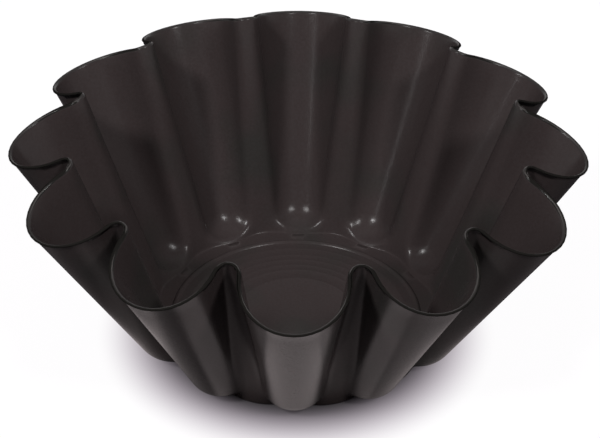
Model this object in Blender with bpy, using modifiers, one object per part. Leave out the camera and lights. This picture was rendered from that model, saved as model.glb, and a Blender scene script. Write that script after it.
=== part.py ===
"""Fluted pudding mould, pressed from one piece of coated sheet steel.

The mould stands on its round foot at z = 0, with the middle of the foot at the origin and one
flute pointing along -Y. Sizes are in metres and are those of the outer face of the sheet.
"""

import math

import bmesh
import bpy
import numpy as np

# Sheet, and the lip turned out of it along the rim
SHEET = 0.0009
LIP_OVERHANG = 0.0008

# Rim: radius over the flutes, radius of one flute, radius over the roots between the flutes
FLUTES = 12
RIM_RADIUS = 0.1090
RIM_FLUTE_RADIUS = 0.0192
RIM_ROOT_RADIUS = 0.0865

# Height of the lip's top face on a flute, and how much higher it is on a root
RIM_HEIGHT = 0.0763
ROOT_RISE = 0.0112

# The same section where the straight walls would reach the table
BASE_RADIUS = 0.0622
BASE_FLUTE_RADIUS = 0.0100
BASE_ROOT_RADIUS = 0.0571
BASE_ROOT_FILLET = 0.0045

# Bends from the walls to the floor, and how far the toes of the flutes stay off the table
TOE_BEND_RADIUS = 0.0140
ROOT_BEND_RADIUS = 0.0033
TOE_LIFT = 0.0016

# Round foot below the toes: how far it starts inside the bends, and the run of its slanted edge
FOOT_MARGIN = 0.0004
FOOT_EDGE_RUN = 0.0014

# Stiffening bead pressed up into the floor: its middle's distance from the foot's outer edge
BEAD_INSET = 0.0043
BEAD_WIDTH = 0.0038
BEAD_HEIGHT = 0.0011

# Flat disc inside the bead: its edge's distance from the middle of the bead
DISC_INSET = 0.0086

# Divisions of half a flute, half a root, the walls, their bends and the bead
FLUTE_STEPS = 4
ROOT_STEPS = 3
WALL_STEPS = 2
BEND_STEPS = 4
BEAD_STEPS = 4

COATING_COLOUR = (0.040, 0.032, 0.032, 1.0)
COATING_ROUGHNESS = 0.25
SMOOTH_ANGLE = math.radians(40)

HALF_PITCH = math.pi / FLUTES


def direction(angle):
    return np.array([math.cos(angle), math.sin(angle)])


def touching_fillet(radius, flute_radius, root_radius):
    """Radius of the arc that joins two flutes and touches the root circle midway between them."""
    centre = radius - flute_radius
    across = 2 * centre * math.cos(HALF_PITCH)
    rest = root_radius**2 - across * root_radius + centre**2 - flute_radius**2
    return rest / (across + 2 * flute_radius - 2 * root_radius)


def half_flute(radius, flute_radius, root_radius, fillet):
    """Outline from the crest of a flute to the middle of a root, as points and outward sides.

    It is an arc over the flute, a fillet that bends the other way and, where the fillet leaves
    room, an arc of the root circle.
    """
    crest = np.array([radius - flute_radius, 0.0])
    reach = root_radius + fillet
    cosine = (crest[0] ** 2 + reach**2 - (flute_radius + fillet) ** 2) / (2 * crest[0] * reach)
    root_angle = min(math.acos(min(cosine, 1.0)), HALF_PITCH)
    hollow = reach * direction(root_angle)
    turn = math.atan2(hollow[1], hollow[0] - crest[0])

    points, sides = [], []
    for step in range(FLUTE_STEPS + 1):
        side = direction(turn * step / FLUTE_STEPS)
        points.append(crest + flute_radius * side)
        sides.append(side)
    fillet_length = fillet * (turn - root_angle)
    root_length = root_radius * (HALF_PITCH - root_angle)
    for step in range(1, ROOT_STEPS + 1):
        along = (fillet_length + root_length) * step / ROOT_STEPS
        if along < fillet_length:
            side = direction(turn - along / fillet)
            points.append(hollow - fillet * side)
        else:
            side = direction(root_angle + (along - fillet_length) / root_radius)
            points.append(root_radius * side)
        sides.append(side)
    return points, sides


def smooth_share(value, low, high):
    share = min(max((value - low) / (high - low), 0.0), 1.0)
    return share * share * (3 - 2 * share)


def wall_column(rim, rim_side, base, base_side):
    """Points of the outer face from the edge of the lip down the wall to the end of its bend."""
    drop = (RIM_RADIUS - np.linalg.norm(rim)) / (RIM_RADIUS - RIM_ROOT_RADIUS)
    top = RIM_HEIGHT - SHEET + ROOT_RISE * drop
    slope = (rim - base) @ base_side / top
    lean = math.atan2(1.0, slope)
    toe = smooth_share(np.linalg.norm(base), BASE_ROOT_RADIUS, BASE_RADIUS)
    bend = ROOT_BEND_RADIUS + (TOE_BEND_RADIUS - ROOT_BEND_RADIUS) * toe
    lift = TOE_LIFT * toe

    def wall(height):
        return base + (rim - base) * height / top

    points = [(*(rim + LIP_OVERHANG * rim_side), top)]
    bend_top = lift + bend * (1 - math.cos(lean))
    for step in range(WALL_STEPS):
        height = top + (bend_top - top) * step / WALL_STEPS
        points.append((*wall(height), height))
    for step in range(BEND_STEPS + 1):
        angle = lean * (1 - step / BEND_STEPS)
        rise = bend * (1 - math.cos(angle))
        out = bend * (math.sin(angle) - math.tan(lean / 2))
        place = wall(lift + rise) + (out - slope * rise) * base_side
        points.append((*place, lift + rise))
    return points


def floor_column(bend_end, edge_radius):
    """Points of the underside from the foot's edge, whose radius is given, to the flat disc."""
    outward = bend_end[:2] / np.linalg.norm(bend_end[:2])
    foot_radius = edge_radius - FOOT_EDGE_RUN
    bead_radius = foot_radius - BEAD_INSET
    points = [(*edge_radius * outward, bend_end[2]), (*foot_radius * outward, 0.0)]
    for step in range(BEAD_STEPS + 1):
        radius = bead_radius + BEAD_WIDTH * (0.5 - step / BEAD_STEPS)
        height = BEAD_HEIGHT * (1 - math.cos(2 * math.pi * step / BEAD_STEPS)) / 2
        points.append((*radius * outward, height))
    points.append((*(bead_radius - DISC_INSET) * outward, 0.0))
    return points


def flute_columns():
    """The columns across one whole flute, from just past one root to the middle of the next."""
    rim_fillet = touching_fillet(RIM_RADIUS, RIM_FLUTE_RADIUS, RIM_ROOT_RADIUS)
    rim = half_flute(RIM_RADIUS, RIM_FLUTE_RADIUS, RIM_ROOT_RADIUS, rim_fillet)
    base = half_flute(BASE_RADIUS, BASE_FLUTE_RADIUS, BASE_ROOT_RADIUS, BASE_ROOT_FILLET)
    walls = np.array([wall_column(*ends) for ends in zip(*rim, *base)])
    bend_ends = walls[:, -1]
    edge_radius = np.linalg.norm(bend_ends[:, :2], axis=1).min() - FOOT_MARGIN
    floors = np.array([floor_column(bend_end, edge_radius) for bend_end in bend_ends])
    half = np.concatenate([walls, floors], axis=1)
    other_half = half[-2:0:-1] * (1, -1, 1)
    return np.concatenate([other_half, half])


def shell_surface():
    """The open outer face: every flute's columns, joined side by side, and the disc they end on."""
    columns = flute_columns()
    surface = bmesh.new()
    grid = []
    for flute in range(FLUTES):
        angle = 2 * math.pi * flute / FLUTES - math.pi / 2
        turned = np.array([direction(angle), direction(angle + math.pi / 2)])
        for points in columns:
            places = np.column_stack([points[:, :2] @ turned, points[:, 2]])
            grid.append([surface.verts.new(place) for place in places])
    for left, right in zip(grid, grid[1:] + grid[:1]):
        for row in range(len(left) - 1):
            surface.faces.new([left[row + 1], right[row + 1], right[row], left[row]])
    surface.faces.new([points[-1] for points in reversed(grid)])
    mesh = bpy.data.meshes.new("mould_shell")
    surface.to_mesh(mesh)
    surface.free()
    return mesh


def coating():
    material = bpy.data.materials.new("dark_coating")
    material.use_nodes = True
    shader = material.node_tree.nodes["Principled BSDF"]
    shader.inputs["Base Color"].default_value = COATING_COLOUR
    shader.inputs["Roughness"].default_value = COATING_ROUGHNESS
    shader.inputs["Metallic"].default_value = 0.0
    return material


def clear_scene():
    for item in list(bpy.data.objects):
        bpy.data.objects.remove(item)


def main():
    clear_scene()
    collection = bpy.data.collections.new("pudding_mould")
    bpy.context.scene.collection.children.link(collection)

    mesh = shell_surface()
    mesh.shade_smooth()
    mesh.set_sharp_from_angle(angle=SMOOTH_ANGLE)
    mesh.materials.append(coating())
    shell = bpy.data.objects.new("mould_shell", mesh)
    collection.objects.link(shell)

    # The thickness grows inwards, so the outer face keeps the sizes above
    thickness = shell.modifiers.new("sheet", "SOLIDIFY")
    thickness.thickness = SHEET
    thickness.offset = -1.0
    thickness.use_even_offset = True
    thickness.use_quality_normals = True


main()
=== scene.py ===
import math

import bmesh
import bpy
import numpy as np
from mathutils import Matrix, Vector


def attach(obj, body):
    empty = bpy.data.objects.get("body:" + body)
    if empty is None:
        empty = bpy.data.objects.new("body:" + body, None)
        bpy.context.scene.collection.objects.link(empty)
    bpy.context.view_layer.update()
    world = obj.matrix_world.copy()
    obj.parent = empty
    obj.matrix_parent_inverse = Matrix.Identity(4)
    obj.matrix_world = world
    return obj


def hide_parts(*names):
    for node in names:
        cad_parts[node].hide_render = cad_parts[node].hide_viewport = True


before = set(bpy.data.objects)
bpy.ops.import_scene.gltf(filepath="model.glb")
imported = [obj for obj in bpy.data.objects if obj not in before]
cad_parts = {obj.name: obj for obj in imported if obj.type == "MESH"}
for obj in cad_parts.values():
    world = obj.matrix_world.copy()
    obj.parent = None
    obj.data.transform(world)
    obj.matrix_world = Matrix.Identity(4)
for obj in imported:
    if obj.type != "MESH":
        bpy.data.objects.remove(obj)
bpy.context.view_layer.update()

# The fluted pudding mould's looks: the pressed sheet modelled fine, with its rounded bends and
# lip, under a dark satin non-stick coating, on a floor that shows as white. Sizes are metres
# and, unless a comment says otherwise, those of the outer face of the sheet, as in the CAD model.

# Sheet, and the lip turned out of it along the rim
SHEET = 0.0009
LIP_OVERHANG = 0.0008
LIP_BEND_RADIUS = 0.0005
LIP_EDGE_RADIUS = 0.00043

# Rim: radius over the flutes, radius of one flute, radius over the roots between the flutes
FLUTES = 12
RIM_RADIUS = 0.1090
RIM_FLUTE_RADIUS = 0.0192
RIM_ROOT_RADIUS = 0.0865

# Height of the lip's top face on a flute, and how much higher it is on a root
RIM_HEIGHT = 0.0763
ROOT_RISE = 0.0112

# The same section where the straight walls would reach the table
BASE_RADIUS = 0.0622
BASE_FLUTE_RADIUS = 0.0100
BASE_ROOT_RADIUS = 0.0571
BASE_ROOT_FILLET = 0.0045

# Bends from the walls to the floor. The bend of a flute's crest would be level at the lift, but
# ends at the slope at which the toe's bottom runs down to the foot.
TOE_BEND_RADIUS = 0.0140
ROOT_BEND_RADIUS = 0.0018
TOE_LIFT = 0.0016
TOE_SLOPE = math.radians(12)

# Height at which a toe starts, and over which it opens out to the whole width of its flute
TOE_START = 0.0004
TOE_HEIGHT = 0.0085

# Foot under the toes: how far it is inset there, its bend, and the angle over which this fades
FOOT_INSET = 0.0018
FOOT_BEND_RADIUS = 0.0013
FOOT_INSET_ANGLE = math.radians(14)

# Heights between which the toes pass into the rounded outline of the walls, the height from
# which the walls are straight, and the rounding of the toes' edges
OUTLINE_LOW = 0.0022
OUTLINE_HIGH = 0.0065
JOIN_HEIGHT = 0.0120
TOE_EDGE_SOFTNESS = 0.0008

# Stiffening bead pressed up into the floor: its middle's distance from the foot's inset edge,
# its bends at the floor and at the top, its slope and its height
BEAD_INSET = 0.0054
BEAD_FOOT_RADIUS = 0.0012
BEAD_TOP_RADIUS = 0.0004
BEAD_SLOPE = math.radians(46)
BEAD_HEIGHT = 0.0007

# Fine rings in the flat disc inside the bead: their radii, and one ring's width and height
RING_RADII = (0.0438, 0.0394, 0.0361, 0.0325, 0.0291, 0.0236)
RING_WIDTH = 0.0012
RING_HEIGHT = 0.00006

# Divisions of half a flute, half a root, and of the lines and bends down a column
FLUTE_STEPS = 10
ROOT_STEPS = 8
LIP_BEND_STEPS = 5
LIP_EDGE_STEPS = 3
WALL_STEPS = 10
SPOKE_STEPS = 36
SECTION_STEPS = 70
SOFTENING_STEPS = 4
BEAD_BEND_STEPS = 5
RING_STEPS = 4

# How high the sections reach, as a share of the join's height, and how they and the spokes'
# points crowd towards the floor
SECTION_REACH = 1.3
SECTION_POWER = 1.5
SPOKE_POWER = 1.5

# Noises in the coating, each with its scale, its detail and the range of it that counts: a fine
# mottle in colour and roughness, larger clouds of a greener tone, and the grain
MOTTLE_NOISE = (1000.0, 4.0)
MOTTLE_RANGE = (0.30, 0.72)
ROUGHNESS_RANGE = (0.3, 0.7)
CLOUD_NOISE = (28.0, 2.0)
CLOUD_RANGE = (0.50, 0.68)
GRAIN_NOISE = (1500.0, 3.0)
GRAIN_RANGE = (0.35, 0.65)

# Coating's colours, its gloss, as roughness, speckle and what a recess keeps of it under
# painted shade, and the relief of its grain
MOTTLE_DARK = (0.037, 0.028, 0.028, 1.0)
MOTTLE_LIGHT = (0.043, 0.034, 0.034, 1.0)
CLOUD_TINT = (0.82, 0.96, 0.92, 1.0)
COATING_IOR = 1.22
ROUGHNESS = (0.20, 0.27)
SPECKLE = (0.42, 0.58)
RECESS_GLOSS = 0.42
GRAIN_STRENGTH = 0.5
GRAIN_DEPTH = 0.00008

# Colours of the lip: a painted highlight along its inner edge, its top, its inner side, and
# painted shade on its cut edge and underside; and how far down they reach
PAINTED_EDGE_HIGHLIGHT = (0.070, 0.064, 0.062, 1.0)
LIP_TOP = (0.032, 0.029, 0.028, 1.0)
LIP_INSIDE = (0.034, 0.029, 0.029, 1.0)
CUT_EDGE_SHADE = (0.013, 0.012, 0.011, 1.0)
LIP_DEPTH = 1.1 * SHEET

# Where they change: by how steep the lip is, from 0 facing down to 1 facing up, and by how far
# it faces outwards, from the start of a change to its end
LIP_STEEPNESS = (0.87, 0.89, 0.93, 0.96)
CUT_EDGE_FACING = (0.02 * RIM_RADIUS, 0.12 * RIM_RADIUS)
INNER_SIDE_FACING = (-0.25 * RIM_RADIUS, -0.45 * RIM_RADIUS)

# Floor: its half width, how far it lies below the foot, its colour, and its glow to the camera,
# which fades towards the foot as a painted shadow
FLOOR_REACH = 3.0
FLOOR_DROP = 0.0002
FLOOR_COLOUR = (0.08, 0.075, 0.08, 1.0)
FLOOR_ROUGHNESS = 0.9
FLOOR_LEVEL = 0.95
SHADOW_CENTRE = 0.008
SHADOW_EDGE = (0.0465, 0.0795)
SHADOW_TINT = (1.0, 0.87, 1.0, 1.0)
WHITE = (1.0, 1.0, 1.0, 1.0)

# Painted reflection: the floor as the coating mirrors it, as places with the level of its glow
# there: across and along the floor in front of the mould, the same behind it, and the spans that
# these places lie in
FRONT_ACROSS = (
    (-0.085, 0.10), (-0.064, 0.62), (-0.052, 0.25), (-0.036, 0.12),
    (0.010, 0.20), (0.040, 0.43), (0.062, 0.40), (0.085, 0.10),
)
FRONT_ALONG = ((-0.015, 1.0), (0.012, 0.0), (0.170, 0.0), (0.230, 0.6))
REAR_ACROSS = ((-0.092, 0.0), (-0.078, 0.35), (0.078, 0.35), (0.092, 0.0))
REAR_ALONG = ((0.030, 0.0), (0.060, 1.0))
ACROSS_SPAN = (-0.1, 0.1)
FRONT_SPAN = (-0.05, 0.25)
REAR_SPAN = (0.0, 0.1)

# Over that, a light round patch in front and one behind, the dark round place under the mould,
# which is a painted shadow in the reflection, and the tint of it all
PATCH_CENTRE = 0.070
PATCH_EDGE = (0.028, 0.036)
PATCH_LEVEL = 0.75
UNDER_EDGE = (0.058, 0.066)
MIRRORED_TINT = (1.0, 0.88, 0.88, 1.0)

# Room: its light on the mould, how dim it shows overhead, and between which heights it dims
ROOM_LIGHT = 0.16
ROOM_OVERHEAD = 0.15
ROOM_FADE = (0.15, 0.45)

# Lamps: name, direction that each shines from, strength, and width as an angle in degrees
LAMPS = (
    ("left_lamp", (-0.46, -0.5, 0.73), 1.78, 9),
    ("right_lamp", (0.46, -0.5, 0.73), 1.42, 9),
    ("rear_lamp", (0.0, 0.4, 0.92), 0.2, 60),
    ("streak_lamp", (-0.6, -0.66, 0.45), 0.08, 3),
)

# Camera, found by fitting the rim and the foot to the photograph
CAMERA_AIM = Vector((0.0009, 0.0098, 0.0400))
CAMERA_DISTANCE = 0.8601
CAMERA_AZIMUTH = math.radians(-89.58)
CAMERA_ELEVATION = math.radians(35.32)
CAMERA_ROLL = math.radians(0.79)
CAMERA_LENS = 131.8
CAMERA_CLIP = (0.05, 20.0)

HALF_PITCH = math.pi / FLUTES
HALF_PI = math.pi / 2
CREST_TOP = RIM_HEIGHT - SHEET


def direction(angle):
    return np.array([math.cos(angle), math.sin(angle)])


def touching_fillet(radius, flute_radius, root_radius):
    """Radius of the arc that joins two flutes and touches the root circle midway between them."""
    centre = radius - flute_radius
    across = 2 * centre * math.cos(HALF_PITCH)
    rest = root_radius**2 - across * root_radius + centre**2 - flute_radius**2
    return rest / (across + 2 * flute_radius - 2 * root_radius)


def half_flute(radius, flute_radius, root_radius, fillet):
    """Outline from the crest of a flute to the middle of a root, as points and outward sides."""
    crest = np.array([radius - flute_radius, 0.0])
    reach = root_radius + fillet
    cosine = (crest[0] ** 2 + reach**2 - (flute_radius + fillet) ** 2) / (2 * crest[0] * reach)
    root_angle = min(math.acos(min(cosine, 1.0)), HALF_PITCH)
    hollow = reach * direction(root_angle)
    turn = math.atan2(hollow[1], hollow[0] - crest[0])

    points, sides = [], []
    for step in range(FLUTE_STEPS + 1):
        side = direction(turn * step / FLUTE_STEPS)
        points.append(crest + flute_radius * side)
        sides.append(side)
    fillet_length = fillet * (turn - root_angle)
    root_length = root_radius * (HALF_PITCH - root_angle)
    for step in range(1, ROOT_STEPS + 1):
        along = (fillet_length + root_length) * step / ROOT_STEPS
        if along < fillet_length:
            side = direction(turn - along / fillet)
            points.append(hollow - fillet * side)
        else:
            side = direction(root_angle + (along - fillet_length) / root_radius)
            points.append(root_radius * side)
        sides.append(side)
    return points, sides


def smooth_share(value, low, high):
    share = min(max((value - low) / (high - low), 0.0), 1.0)
    return share * share * (3 - 2 * share)


def bent_line(height, base_radius, slope, bend, lift):
    """Radius, at a height, of a straight wall that bends inwards until it is level at lift."""
    lean = math.atan2(1.0, slope)
    if height >= lift + bend * (1 - math.cos(lean)):
        return base_radius + slope * height
    level_end = base_radius + slope * lift - bend * math.tan(lean / 2)
    return level_end + bend * math.sin(math.acos(1 - (height - lift) / bend))


def crest_radius(height):
    """Radius of a flute's crest: straight wall, bend, and the gently sloping toe."""
    slope = (RIM_RADIUS - BASE_RADIUS) / CREST_TOP
    bent = max(height, TOE_LIFT + TOE_BEND_RADIUS * (1 - math.cos(TOE_SLOPE)))
    radius = bent_line(bent, BASE_RADIUS, slope, TOE_BEND_RADIUS, TOE_LIFT)
    return radius - (bent - height) / math.tan(TOE_SLOPE)


def foot_line(height, angle):
    """Radius of the round foot and the root wall above it, at an angle from a flute's crest."""
    inset = math.cos(HALF_PI * min(angle / FOOT_INSET_ANGLE, 1.0)) ** 2
    bend = ROOT_BEND_RADIUS + (FOOT_BEND_RADIUS - ROOT_BEND_RADIUS) * inset
    slope = (RIM_ROOT_RADIUS - BASE_ROOT_RADIUS) / (CREST_TOP + ROOT_RISE)
    tangent = math.tan(math.atan2(1.0, slope) / 2)
    base_radius = BASE_ROOT_RADIUS - FOOT_INSET * inset - (ROOT_BEND_RADIUS - bend) * tangent
    return bent_line(height, base_radius, slope, bend, 0.0)


def flute_radius(height):
    straight = BASE_FLUTE_RADIUS + (RIM_FLUTE_RADIUS - BASE_FLUTE_RADIUS) * height / CREST_TOP
    closing = min(max(1 - (height - TOE_START) / TOE_HEIGHT, 0.0), 1.0)
    return straight * math.sqrt(1 - closing**2)


def toe_line(height, angle):
    """Radius at which a flute's round section ends in a direction, or 0 if it lies beside it."""
    radius = flute_radius(height)
    centre = crest_radius(height) - radius
    beside = centre * math.sin(angle)
    if beside > radius:
        return 0.0
    return centre * math.cos(angle) + math.sqrt(radius**2 - beside**2)


def wall_outline(height):
    """Half a flute's outline at a height where the toes have opened."""
    root_radius = foot_line(height, HALF_PITCH)
    return half_flute(crest_radius(height), flute_radius(height), root_radius, BASE_ROOT_FILLET)


def section_heights():
    """Heights from the floor to some way up the straight walls, close together near the floor."""
    shares = np.linspace(0, 1, SECTION_STEPS) ** SECTION_POWER
    return SECTION_REACH * JOIN_HEIGHT * shares


def wall_sections():
    """The outlines of the walls at the section heights above the toes, as angles and radii."""
    sections = {}
    for height in section_heights():
        if height > OUTLINE_LOW:
            points = np.array(wall_outline(height)[0])
            angles = np.arctan2(points[:, 1], points[:, 0])
            sections[height] = (angles, np.linalg.norm(points, axis=1))
    return sections


def foot_radius():
    """Radius of the flat floor at the toes."""
    return foot_line(0.0, 0.0)


def spoke(outward, reach, sections):
    """Points from a reach on the straight walls' start inwards to the foot, in one direction."""
    angle = math.atan2(outward[1], outward[0])
    radii = []
    for height in section_heights():
        radius = max(foot_line(height, angle), toe_line(height, angle))
        if height in sections:
            share = smooth_share(height, OUTLINE_LOW, OUTLINE_HIGH)
            radius += share * (np.interp(angle, *sections[height]) - radius)
        radii.append(radius)
    radii = np.maximum.accumulate(radii)
    offsets = np.linspace(-1, 1, 2 * SOFTENING_STEPS + 1)
    weights = 1 + np.cos(math.pi * offsets)
    places = []
    for step in range(1, SPOKE_STEPS):
        radius = foot_radius() + (reach - foot_radius()) * (1 - step / SPOKE_STEPS) ** SPOKE_POWER
        near = radius + TOE_EDGE_SOFTNESS * offsets
        height = np.average(np.interp(near, radii, section_heights()), weights=weights)
        places.append((*radius * outward, height))
    return places


def wall_column(rim, rim_side, join):
    """Points of the outer face from the lip's underside down the straight wall."""
    drop = (RIM_RADIUS - np.linalg.norm(rim)) / (RIM_RADIUS - RIM_ROOT_RADIUS)
    top = CREST_TOP + ROOT_RISE * drop

    def wall(height):
        return join + (rim - join) * (height - JOIN_HEIGHT) / (top - JOIN_HEIGHT)

    slope = (rim - join) @ rim_side / (top - JOIN_HEIGHT)
    lean = math.atan2(1.0, slope)
    points = [(*(rim + (LIP_OVERHANG - LIP_EDGE_RADIUS) * rim_side), top)]
    tangent = LIP_BEND_RADIUS * math.tan(lean / 2)
    for step in range(LIP_BEND_STEPS + 1):
        angle = lean * step / LIP_BEND_STEPS
        rise = -LIP_BEND_RADIUS * (1 - math.cos(angle))
        out = tangent - LIP_BEND_RADIUS * math.sin(angle)
        place = wall(top + rise) + (out - slope * rise) * rim_side
        points.append((*place, top + rise))
    wall_top = top + rise
    for step in range(1, WALL_STEPS + 1):
        height = wall_top + (JOIN_HEIGHT - wall_top) * step / WALL_STEPS
        points.append((*wall(height), height))
    return points


def bead_profile():
    """Distance from the bead's middle and height, from its edge at the floor to its top."""
    rise = (BEAD_FOOT_RADIUS + BEAD_TOP_RADIUS) * (1 - math.cos(BEAD_SLOPE))
    run = (BEAD_HEIGHT - rise) / math.tan(BEAD_SLOPE)
    half_width = (BEAD_FOOT_RADIUS + BEAD_TOP_RADIUS) * math.sin(BEAD_SLOPE) + run
    places = []
    for step in range(BEAD_BEND_STEPS + 1):
        angle = BEAD_SLOPE * step / BEAD_BEND_STEPS
        distance = half_width - BEAD_FOOT_RADIUS * math.sin(angle)
        places.append((distance, BEAD_FOOT_RADIUS * (1 - math.cos(angle))))
    for step in range(BEAD_BEND_STEPS + 1):
        angle = BEAD_SLOPE * (1 - step / BEAD_BEND_STEPS)
        height = BEAD_HEIGHT - BEAD_TOP_RADIUS * (1 - math.cos(angle))
        places.append((BEAD_TOP_RADIUS * math.sin(angle), height))
    return places


def floor_rings():
    """Radius and height of each ring of the floor, from the foot to near the middle."""
    rings = [(foot_radius(), 0.0)]
    bead_radius = foot_radius() - BEAD_INSET
    profile = bead_profile()
    rings += [(bead_radius + distance, height) for distance, height in profile]
    rings += [(bead_radius - distance, height) for distance, height in profile[-2::-1]]
    for ring in RING_RADII:
        for step in range(RING_STEPS + 1):
            radius = ring + RING_WIDTH * (0.5 - step / RING_STEPS)
            height = RING_HEIGHT * (1 - math.cos(2 * math.pi * step / RING_STEPS)) / 2
            rings.append((radius, height))
    rings.append((RING_RADII[-1] / 2, 0.0))
    return rings


def outer_face():
    """The outer face as a grid of points: every column of every flute, and the rows down it."""
    rim_fillet = touching_fillet(RIM_RADIUS, RIM_FLUTE_RADIUS, RIM_ROOT_RADIUS)
    rims, rim_sides = half_flute(RIM_RADIUS, RIM_FLUTE_RADIUS, RIM_ROOT_RADIUS, rim_fillet)
    joins = wall_outline(JOIN_HEIGHT)[0]
    sections = wall_sections()
    half = []
    for rim, rim_side, join in zip(rims, rim_sides, joins):
        outward = join / np.linalg.norm(join)
        column = wall_column(rim, rim_side, join)
        column += spoke(outward, np.linalg.norm(join), sections)
        column += [(*radius * outward, height) for radius, height in floor_rings()]
        half.append(column)
    half = np.array(half)
    columns = np.concatenate([half[-2:0:-1] * (1, -1, 1), half])

    flutes = []
    for flute in range(FLUTES):
        angle = 2 * math.pi * flute / FLUTES - HALF_PI
        turned = np.array([direction(angle), direction(angle + HALF_PI)])
        places = columns.copy()
        places[:, :, :2] = columns[:, :, :2] @ turned
        flutes.append(places)
    return np.concatenate(flutes)


def outward_sides(grid):
    """Unit vectors square to a grid of points, pointing away from the sheet."""
    around = np.roll(grid, -1, axis=0) - np.roll(grid, 1, axis=0)
    down = np.gradient(grid, axis=1)
    sides = np.cross(down, around)
    return sides / np.linalg.norm(sides, axis=2, keepdims=True)


def lip_edge(outer):
    """Rows round the cut edge of the lip, from its top face to its underside."""
    start = outer[:, 0]
    along = np.roll(start, -1, axis=0) - np.roll(start, 1, axis=0)
    up = np.array((0.0, 0.0, 1.0))
    away = np.cross(along, up)
    away /= np.linalg.norm(away, axis=1, keepdims=True)
    rows = []
    quarters = ((SHEET - LIP_EDGE_RADIUS, HALF_PI), (LIP_EDGE_RADIUS, 0.0))
    for centre_height, first_angle in quarters:
        for step in range(LIP_EDGE_STEPS + 1):
            angle = first_angle - HALF_PI * step / LIP_EDGE_STEPS
            out = LIP_EDGE_RADIUS * math.cos(angle)
            height = centre_height + LIP_EDGE_RADIUS * math.sin(angle)
            rows.append(start + out * away + height * up)
    return np.stack(rows[1:-1], axis=1)


def mould_mesh():
    """The whole closed sheet: inner face from the middle to the lip, round its edge, and back."""
    outer = outer_face()
    inner = outer - SHEET * outward_sides(outer)
    grid = np.concatenate([inner[:, ::-1], lip_edge(outer), outer], axis=1)
    rows = grid.shape[1]

    surface = bmesh.new()
    points = [[surface.verts.new(place) for place in column] for column in grid]
    middle_inside = surface.verts.new((0.0, 0.0, SHEET))
    middle_below = surface.verts.new((0.0, 0.0, 0.0))
    for left, right in zip(points, points[1:] + points[:1]):
        for row in range(rows - 1):
            surface.faces.new([left[row + 1], right[row + 1], right[row], left[row]])
        surface.faces.new([left[0], right[0], middle_inside])
        surface.faces.new([right[-1], left[-1], middle_below])
    mesh = bpy.data.meshes.new("coated_mould")
    surface.to_mesh(mesh)
    surface.free()
    mesh.shade_smooth()
    return mesh


def add_node(tree, kind, settings, inputs):
    """Shader node with its settings, its inputs set to values or linked to sockets."""
    node = tree.nodes.new("ShaderNode" + kind)
    for name, value in settings.items():
        setattr(node, name, value)
    for name, value in inputs.items():
        if isinstance(value, bpy.types.NodeSocket):
            tree.links.new(value, node.inputs[name])
        else:
            node.inputs[name].default_value = value
    return node


def calculate(tree, operation, *values):
    """Result of an operation on numbers and sockets."""
    node = add_node(tree, "Math", {"operation": operation}, dict(enumerate(values)))
    return node.outputs["Value"]


def vector_math(tree, operation, *vectors):
    """Outputs of a vector node: Vector for a vector, Value for a number."""
    node = add_node(tree, "VectorMath", {"operation": operation}, dict(enumerate(vectors)))
    return node.outputs


def separate(tree, vector):
    """Sockets for the X, Y and Z of a vector."""
    return add_node(tree, "SeparateXYZ", {}, {"Vector": vector}).outputs


def map_range(tree, value, start, end, low=0.0, high=1.0, kind="LINEAR"):
    """Level that passes from low to high as a value goes from start to end."""
    span = {"From Min": start, "From Max": end, "To Min": low, "To Max": high}
    node = add_node(tree, "MapRange", {"interpolation_type": kind}, {"Value": value, **span})
    return node.outputs["Result"]


def mix(tree, data_type, factor, first, second, blend="MIX"):
    """Number or colour that passes from the first to the second as the factor rises to 1."""
    settings = {"data_type": data_type, "blend_type": blend}
    inputs = {"Factor": factor, "A": first, "B": second}
    return add_node(tree, "Mix", settings, inputs).outputs["Result"]


def noise(tree, place, scale, detail):
    """Noise in a place, as one number between 0 and 1 that is mostly near a half."""
    inputs = {"Vector": place, "Scale": scale, "Detail": detail}
    return add_node(tree, "TexNoise", {}, inputs).outputs["Fac"]


def colour_ramp(tree, value, stops):
    """Colour that passes through those given, each at its place from 0 to 1."""
    node = add_node(tree, "ValToRGB", {}, {"Fac": value})
    elements = node.color_ramp.elements
    elements.remove(elements[1])
    for index, (position, colour) in enumerate(stops):
        element = elements.new(position) if index else elements[0]
        element.position = position
        element.color = colour
    return node.outputs["Color"]


def lip_colour(tree, upward, facing_out, at_cut_edge):
    """Lip: painted highlight along the inner edge, painted shade on the cut edge and underside.
    """
    steepness = map_range(tree, upward, -1.0, 1.0)
    colours = (CUT_EDGE_SHADE, PAINTED_EDGE_HIGHLIGHT, PAINTED_EDGE_HIGHLIGHT, LIP_TOP)
    # From facing down to facing up: painted shade, a painted highlight, then the top's colour
    lip_shade_and_highlight = colour_ramp(tree, steepness, zip(LIP_STEEPNESS, colours))
    facing_in = map_range(tree, facing_out, *INNER_SIDE_FACING)
    inner = mix(tree, "RGBA", facing_in, lip_shade_and_highlight, LIP_INSIDE)
    return mix(tree, "RGBA", at_cut_edge, inner, CUT_EDGE_SHADE)


def painted_recess_shade(tree, height, radius, upward):
    """Share of the gloss that stays: less outside, in the flutes' recesses, as painted shade."""
    root_slope = (RIM_ROOT_RADIUS - BASE_ROOT_RADIUS) / (CREST_TOP + ROOT_RISE)
    crest_slope = (RIM_RADIUS - BASE_RADIUS) / CREST_TOP
    middle_slope = (root_slope + crest_slope) / 2
    middle_start = (BASE_ROOT_RADIUS + BASE_RADIUS) / 2
    root = calculate(tree, "MULTIPLY_ADD", height, root_slope, BASE_ROOT_RADIUS)
    middle = calculate(tree, "MULTIPLY_ADD", height, middle_slope, middle_start)
    outside = map_range(tree, radius, root, middle, RECESS_GLOSS, 1.0, "SMOOTHSTEP")
    return calculate(tree, "MAXIMUM", outside, calculate(tree, "GREATER_THAN", upward, 0.0))


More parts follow.
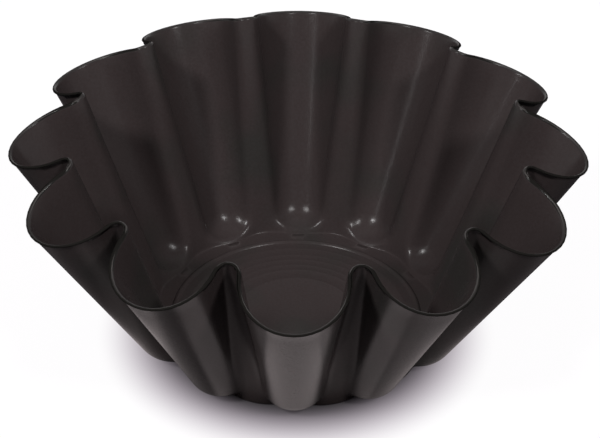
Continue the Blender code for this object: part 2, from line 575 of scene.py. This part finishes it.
def coating():
    """Dark satin non-stick coating: faintly mottled in colour and gloss, with a fine grain."""
    material = bpy.data.materials.new("satin_coating")
    material.use_nodes = True
    tree = material.node_tree
    shader = tree.nodes["Principled BSDF"]
    shader.inputs["Metallic"].default_value = 0.0
    shader.inputs["IOR"].default_value = COATING_IOR

    place = tree.nodes.new("ShaderNodeTexCoord").outputs["Object"]
    normal = tree.nodes.new("ShaderNodeNewGeometry").outputs["Normal"]
    height = separate(tree, place)["Z"]
    upward = separate(tree, normal)["Z"]
    flat = vector_math(tree, "MULTIPLY", place, (1.0, 1.0, 0.0))["Vector"]
    radius = vector_math(tree, "LENGTH", flat)["Value"]
    facing_out = vector_math(tree, "DOT_PRODUCT", normal, flat)["Value"]
    at_cut_edge = map_range(tree, facing_out, *CUT_EDGE_FACING)

    # Over larger areas the coating turns a little greener and darker
    mottle = noise(tree, place, *MOTTLE_NOISE)
    mottled = colour_ramp(tree, mottle, zip(MOTTLE_RANGE, (MOTTLE_DARK, MOTTLE_LIGHT)))
    cloud = map_range(tree, noise(tree, place, *CLOUD_NOISE), *CLOUD_RANGE)
    toned = mix(tree, "RGBA", cloud, mottled, CLOUD_TINT, "MULTIPLY")

    # The rim is higher over the roots, nearer to the axis, so its height and radius tell it apart
    rise = ROOT_RISE / (RIM_RADIUS - RIM_ROOT_RADIUS)
    level = calculate(tree, "MULTIPLY_ADD", radius, rise, height)
    rim_level = RIM_HEIGHT + rise * RIM_RADIUS - LIP_DEPTH
    at_rim = calculate(tree, "GREATER_THAN", level, rim_level)
    lip = lip_colour(tree, upward, facing_out, at_cut_edge)
    tree.links.new(mix(tree, "RGBA", at_rim, toned, lip), shader.inputs["Base Color"])
    roughness = map_range(tree, mottle, *ROUGHNESS_RANGE, *ROUGHNESS)
    tree.links.new(roughness, shader.inputs["Roughness"])

    # The gloss speckles with the grain, and is gone on the cut edge of the lip, deepening its
    # painted shade. Outside, in the recesses between the flutes, less of it is kept, as painted
    # shade
    grain = noise(tree, place, *GRAIN_NOISE)
    speckle = map_range(tree, grain, *GRAIN_RANGE, *SPECKLE)
    matt = calculate(tree, "MULTIPLY", at_rim, at_cut_edge)
    dulled = calculate(tree, "MAXIMUM", calculate(tree, "SUBTRACT", speckle, matt), 0.0)
    kept = painted_recess_shade(tree, height, radius, upward)
    gloss = calculate(tree, "MULTIPLY", dulled, kept)
    tree.links.new(gloss, shader.inputs["Specular IOR Level"])

    relief = {"Strength": GRAIN_STRENGTH, "Distance": GRAIN_DEPTH, "Height": grain}
    bump = add_node(tree, "Bump", {}, relief)
    tree.links.new(bump.outputs["Normal"], shader.inputs["Normal"])
    return material


def mould():
    piece = bpy.data.objects.new("coated_mould", mould_mesh())
    bpy.context.scene.collection.objects.link(piece)
    piece.data.materials.append(coating())
    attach(piece, "root")
    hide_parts("mould_shell")


def mirrored_rays(tree):
    """Socket that is 1 for a ray off a glossy surface or through a clear one, 0 for others."""
    path = tree.nodes.new("ShaderNodeLightPath").outputs
    return calculate(tree, "MAXIMUM", path["Is Glossy Ray"], path["Is Transmission Ray"])


def levels(tree, value, span, stops):
    """Level that passes through those given, each at its place within the span."""
    start, end = span
    share = map_range(tree, value, start, end)
    return colour_ramp(tree, share, [
        ((position - start) / (end - start), (level, level, level, 1.0))
        for position, level in stops
    ])


def painted_floor_reflection(tree, place, fade):
    """Painted reflection: glow of the floor in the rays that the coating mirrors.

    It is lighter in front of the mould and behind it than beside it, and dark under it, as a
    painted shadow. That is what paints the bands of light on the steep walls.
    """
    split = separate(tree, place)
    across, along = split["X"], split["Y"]
    front_across = levels(tree, across, ACROSS_SPAN, FRONT_ACROSS)
    front_along = levels(tree, along, FRONT_SPAN, FRONT_ALONG)
    rear_across = levels(tree, across, ACROSS_SPAN, REAR_ACROSS)
    rear_along = levels(tree, along, REAR_SPAN, REAR_ALONG)
    glow = fade(PATCH_CENTRE, *PATCH_EDGE, PATCH_LEVEL, 0.0)
    for side in ((front_across, front_along), (rear_across, rear_along)):
        glow = calculate(tree, "MAXIMUM", glow, calculate(tree, "MULTIPLY", *side))
    return calculate(tree, "MULTIPLY", glow, fade(0.0, *UNDER_EDGE, 0.0, 1.0))


def floor():
    """Floor that reaches far past the view.

    To the camera it glows white, and the glow fades towards the foot, which paints most of the
    soft shadow there. Its own colour is dark, so that it throws little light back.
    """
    mesh = bpy.data.meshes.new("white_floor")
    corners = [(-1, -1), (1, -1), (1, 1), (-1, 1)]
    places = [(FLOOR_REACH * x, FLOOR_REACH * y, 0.0) for x, y in corners]
    mesh.from_pydata(places, [], [(0, 1, 2, 3)])
    ground = bpy.data.objects.new("white_floor", mesh)
    ground.location.z = -FLOOR_DROP
    bpy.context.scene.collection.objects.link(ground)

    material = bpy.data.materials.new("white_glow_painted_shadow")
    material.use_nodes = True
    tree = material.node_tree
    shader = tree.nodes["Principled BSDF"]
    shader.inputs["Base Color"].default_value = FLOOR_COLOUR
    shader.inputs["Roughness"].default_value = FLOOR_ROUGHNESS
    shader.inputs["Specular IOR Level"].default_value = 0.0

    place = tree.nodes.new("ShaderNodeTexCoord").outputs["Object"]
    folded = vector_math(tree, "ABSOLUTE", place)["Vector"]

    def fade(centre, near, far, near_level, far_level):
        """Level that passes from one value to another with the distance from a place."""
        distance = vector_math(tree, "DISTANCE", folded, (0.0, centre, 0.0))["Value"]
        return map_range(tree, distance, near, far, near_level, far_level, "SMOOTHSTEP")

    # Painted shadow: the white glow fades to nothing towards the foot
    white = fade(SHADOW_CENTRE, *SHADOW_EDGE, 0.0, FLOOR_LEVEL)
    # Painted reflection: what the coating mirrors of the floor
    mirrored = painted_floor_reflection(tree, place, fade)
    shine = calculate(tree, "MULTIPLY", mirrored, mirrored_rays(tree))
    from_camera = tree.nodes.new("ShaderNodeLightPath").outputs["Is Camera Ray"]
    glow = mix(tree, "FLOAT", from_camera, shine, white)
    tree.links.new(glow, shader.inputs["Emission Strength"])

    # The painted shadow is a little violet, and the painted reflection that the coating mirrors
    # is a little warm
    shade = mix(tree, "RGBA", white, SHADOW_TINT, WHITE)
    tint = mix(tree, "RGBA", from_camera, MIRRORED_TINT, shade)
    tree.links.new(tint, shader.inputs["Emission Color"])
    ground.data.materials.append(material)


def lamp(name, towards, strength, width):
    """Far lamp that shines from the direction given, as wide as the angle given in degrees."""
    light = bpy.data.lights.new(name, "SUN")
    light.energy = strength
    light.angle = math.radians(width)
    holder = bpy.data.objects.new(name, light)
    holder.rotation_mode = "QUATERNION"
    holder.rotation_quaternion = Vector(towards).to_track_quat("Z", "Y")
    bpy.context.scene.collection.objects.link(holder)


def surroundings():
    """Room that lights the mould softly, and shows as white low down and dim overhead."""
    world = bpy.data.worlds.new("studio")
    bpy.context.scene.world = world
    world.use_nodes = True
    tree = world.node_tree
    backdrop = tree.nodes["Background"]
    backdrop.inputs["Color"].default_value = WHITE

    towards = tree.nodes.new("ShaderNodeTexCoord").outputs["Generated"]
    height = separate(tree, towards)["Z"]
    shown = map_range(tree, height, *ROOM_FADE, 1.0, ROOM_OVERHEAD, "SMOOTHSTEP")
    from_camera = tree.nodes.new("ShaderNodeLightPath").outputs["Is Camera Ray"]
    seen = calculate(tree, "MAXIMUM", from_camera, mirrored_rays(tree))
    tree.links.new(mix(tree, "FLOAT", seen, ROOM_LIGHT, shown), backdrop.inputs["Strength"])


def camera():
    data = bpy.data.cameras.new("photo_camera")
    data.lens = CAMERA_LENS
    data.clip_start, data.clip_end = CAMERA_CLIP
    holder = bpy.data.objects.new("photo_camera", data)
    back = Vector((
        math.cos(CAMERA_ELEVATION) * math.cos(CAMERA_AZIMUTH),
        math.cos(CAMERA_ELEVATION) * math.sin(CAMERA_AZIMUTH),
        math.sin(CAMERA_ELEVATION),
    ))
    right = Vector((0.0, 0.0, 1.0)).cross(back).normalized()
    upright = Matrix((right, back.cross(right), back)).transposed()
    holder.rotation_euler = (upright @ Matrix.Rotation(CAMERA_ROLL, 3, "Z")).to_euler()
    holder.location = CAMERA_AIM + CAMERA_DISTANCE * back
    bpy.context.scene.collection.objects.link(holder)
    bpy.context.scene.camera = holder


mould()
floor()
for settings in LAMPS:
    lamp(*settings)
surroundings()
camera()
bpy.context.scene.view_settings.view_transform = "Standard"
